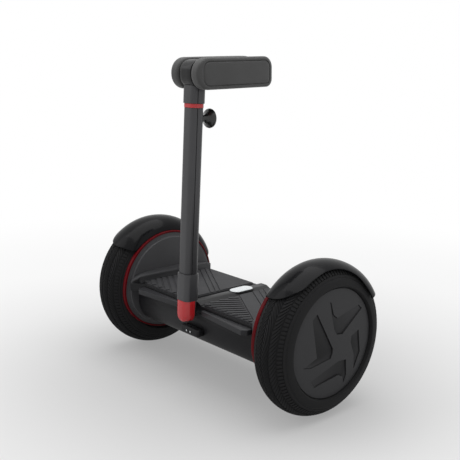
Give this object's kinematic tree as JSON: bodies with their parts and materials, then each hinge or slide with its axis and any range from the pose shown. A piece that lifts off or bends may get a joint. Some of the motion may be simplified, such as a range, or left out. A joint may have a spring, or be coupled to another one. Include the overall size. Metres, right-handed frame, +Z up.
{
  "type": "self-balancing scooter",
  "caption": "Self-balancing scooter with large tyres beside a low ribbed deck and a telescopic knee-steering bar with padded head.",
  "frame": {"origin": "on the floor, under the middle of the axle line", "axes": "+X along the axle towards the near wheel of the picture, +Y to the rear where the rider steps on, +Z up"},
  "size_m": [0.543, 0.266, 0.5952],
  "materials": {
    "tyre": "matte black rubber with fine angled grooves",
    "shell": "satin black moulding",
    "spine": "satin black moulding",
    "fender": "smooth half-gloss black",
    "hub_cover": "satin dark grey with sunk facets",
    "foot_mat": "dark grey rubber with raised ribs and a smooth band",
    "knee_pad": "fine-grained dark grey foam skin",
    "pole": "satin dark grey paint",
    "gloss_black": "glossy black",
    "red_trim": "glossy red",
    "light_lens": "milky white lens",
    "anodised_aluminium": "satin anodised",
    "cast_aluminium": "as cast",
    "steel": "ground steel",
    "magnets": "nickel plated",
    "stator_core": "copper windings on a steel core",
    "battery": "blue shrink sleeve",
    "circuit_board": "green board",
    "sensor_film": "thin grey film",
    "soft_rubber": "matte black rubber"
  },
  "bodies": {
    "scooter_body": {"main_frame": "cast_aluminium", "lower_shell": "shell", "battery_cover": "shell", "battery_cover_screw": "steel", "battery_pack": "battery", "control_board": "circuit_board", "upper_deck": "shell", "spine_cover": "spine", "status_light": "light_lens", "pivot_housing": "cast_aluminium", "front_pivot_bearing": "steel", "rear_pivot_bearing": "steel", "return_bush": "soft_rubber", "pivot_cover": "shell", "left_cover_screw": "steel", "right_cover_screw": "steel", "charge_port": "soft_rubber", "left_foot_mat": "foot_mat", "left_pedal_sensor": "sensor_film", "left_front_rail": "shell", "left_axle": "steel", "left_stator": "stator_core", "left_flank": "shell", "left_red_ring": "red_trim", "left_fender": "fender", "right_foot_mat": "foot_mat", "right_pedal_sensor": "sensor_film", "right_front_rail": "shell", "right_axle": "steel", "right_stator": "stator_core", "right_flank": "shell", "right_red_ring": "red_trim", "right_fender": "fender"},
    "left_wheel": {"left_tyre": "tyre", "left_rim": "cast_aluminium", "left_magnet_ring": "magnets", "left_motor_cover": "cast_aluminium", "left_inner_bearing": "steel", "left_outer_bearing": "steel", "left_hub_cover": "hub_cover"},
    "right_wheel": {"right_tyre": "tyre", "right_rim": "cast_aluminium", "right_magnet_ring": "magnets", "right_motor_cover": "cast_aluminium", "right_inner_bearing": "steel", "right_outer_bearing": "steel", "right_hub_cover": "hub_cover"},
    "steering_bar": {"steering_stem": "pole", "stem_cap": "red_trim", "pole_tube": "pole", "pole_band": "red_trim", "pivot_shaft": "steel"},
    "head": {"inner_tube": "anodised_aluminium", "head_collar": "pole", "head_core": "gloss_black", "left_knee_pad": "knee_pad", "right_knee_pad": "knee_pad"},
    "clamp": {"clamp_knob": "gloss_black"},
    "socket_cap": {"charge_cap": "soft_rubber"},
    "button": {"power_button": "gloss_black"}
  },
  "joints": [
    {"name": "left_wheel_spin", "type": "hinge", "parent": "scooter_body", "child": "left_wheel", "pos_m": [-0.229, 0, 0.133], "axis": [1, 0, 0], "continuous": true},
    {"name": "right_wheel_spin", "type": "hinge", "parent": "scooter_body", "child": "right_wheel", "pos_m": [0.229, 0, 0.133], "axis": [1, 0, 0], "continuous": true},
    {"name": "steering_lean", "type": "hinge", "parent": "scooter_body", "child": "steering_bar", "pos_m": [0, -0.1, 0.1335], "axis": [0, 1, 0], "range_deg": [-12, 12], "stiffness_Nm_per_rad": 14},
    {"name": "height_slide", "type": "slide", "parent": "steering_bar", "child": "head", "axis": [0, 0.0332, 0.9995], "range_m": [0, 0.2]},
    {"name": "clamp_turn", "type": "hinge", "parent": "steering_bar", "child": "clamp", "pos_m": [0, -0.08825, 0.4878], "axis": [0, 0.9995, -0.0332], "range_deg": [0, 360]},
    {"name": "cap_open", "type": "hinge", "parent": "scooter_body", "child": "socket_cap", "pos_m": [0.06, 0.0958, 0.11], "axis": [-1, 0, 0], "range_deg": [0, 110]},
    {"name": "button_press", "type": "slide", "parent": "scooter_body", "child": "button", "axis": [0, -1, 0], "range_m": [0, 0.0015], "stiffness_N_per_m": 300}
  ]
}
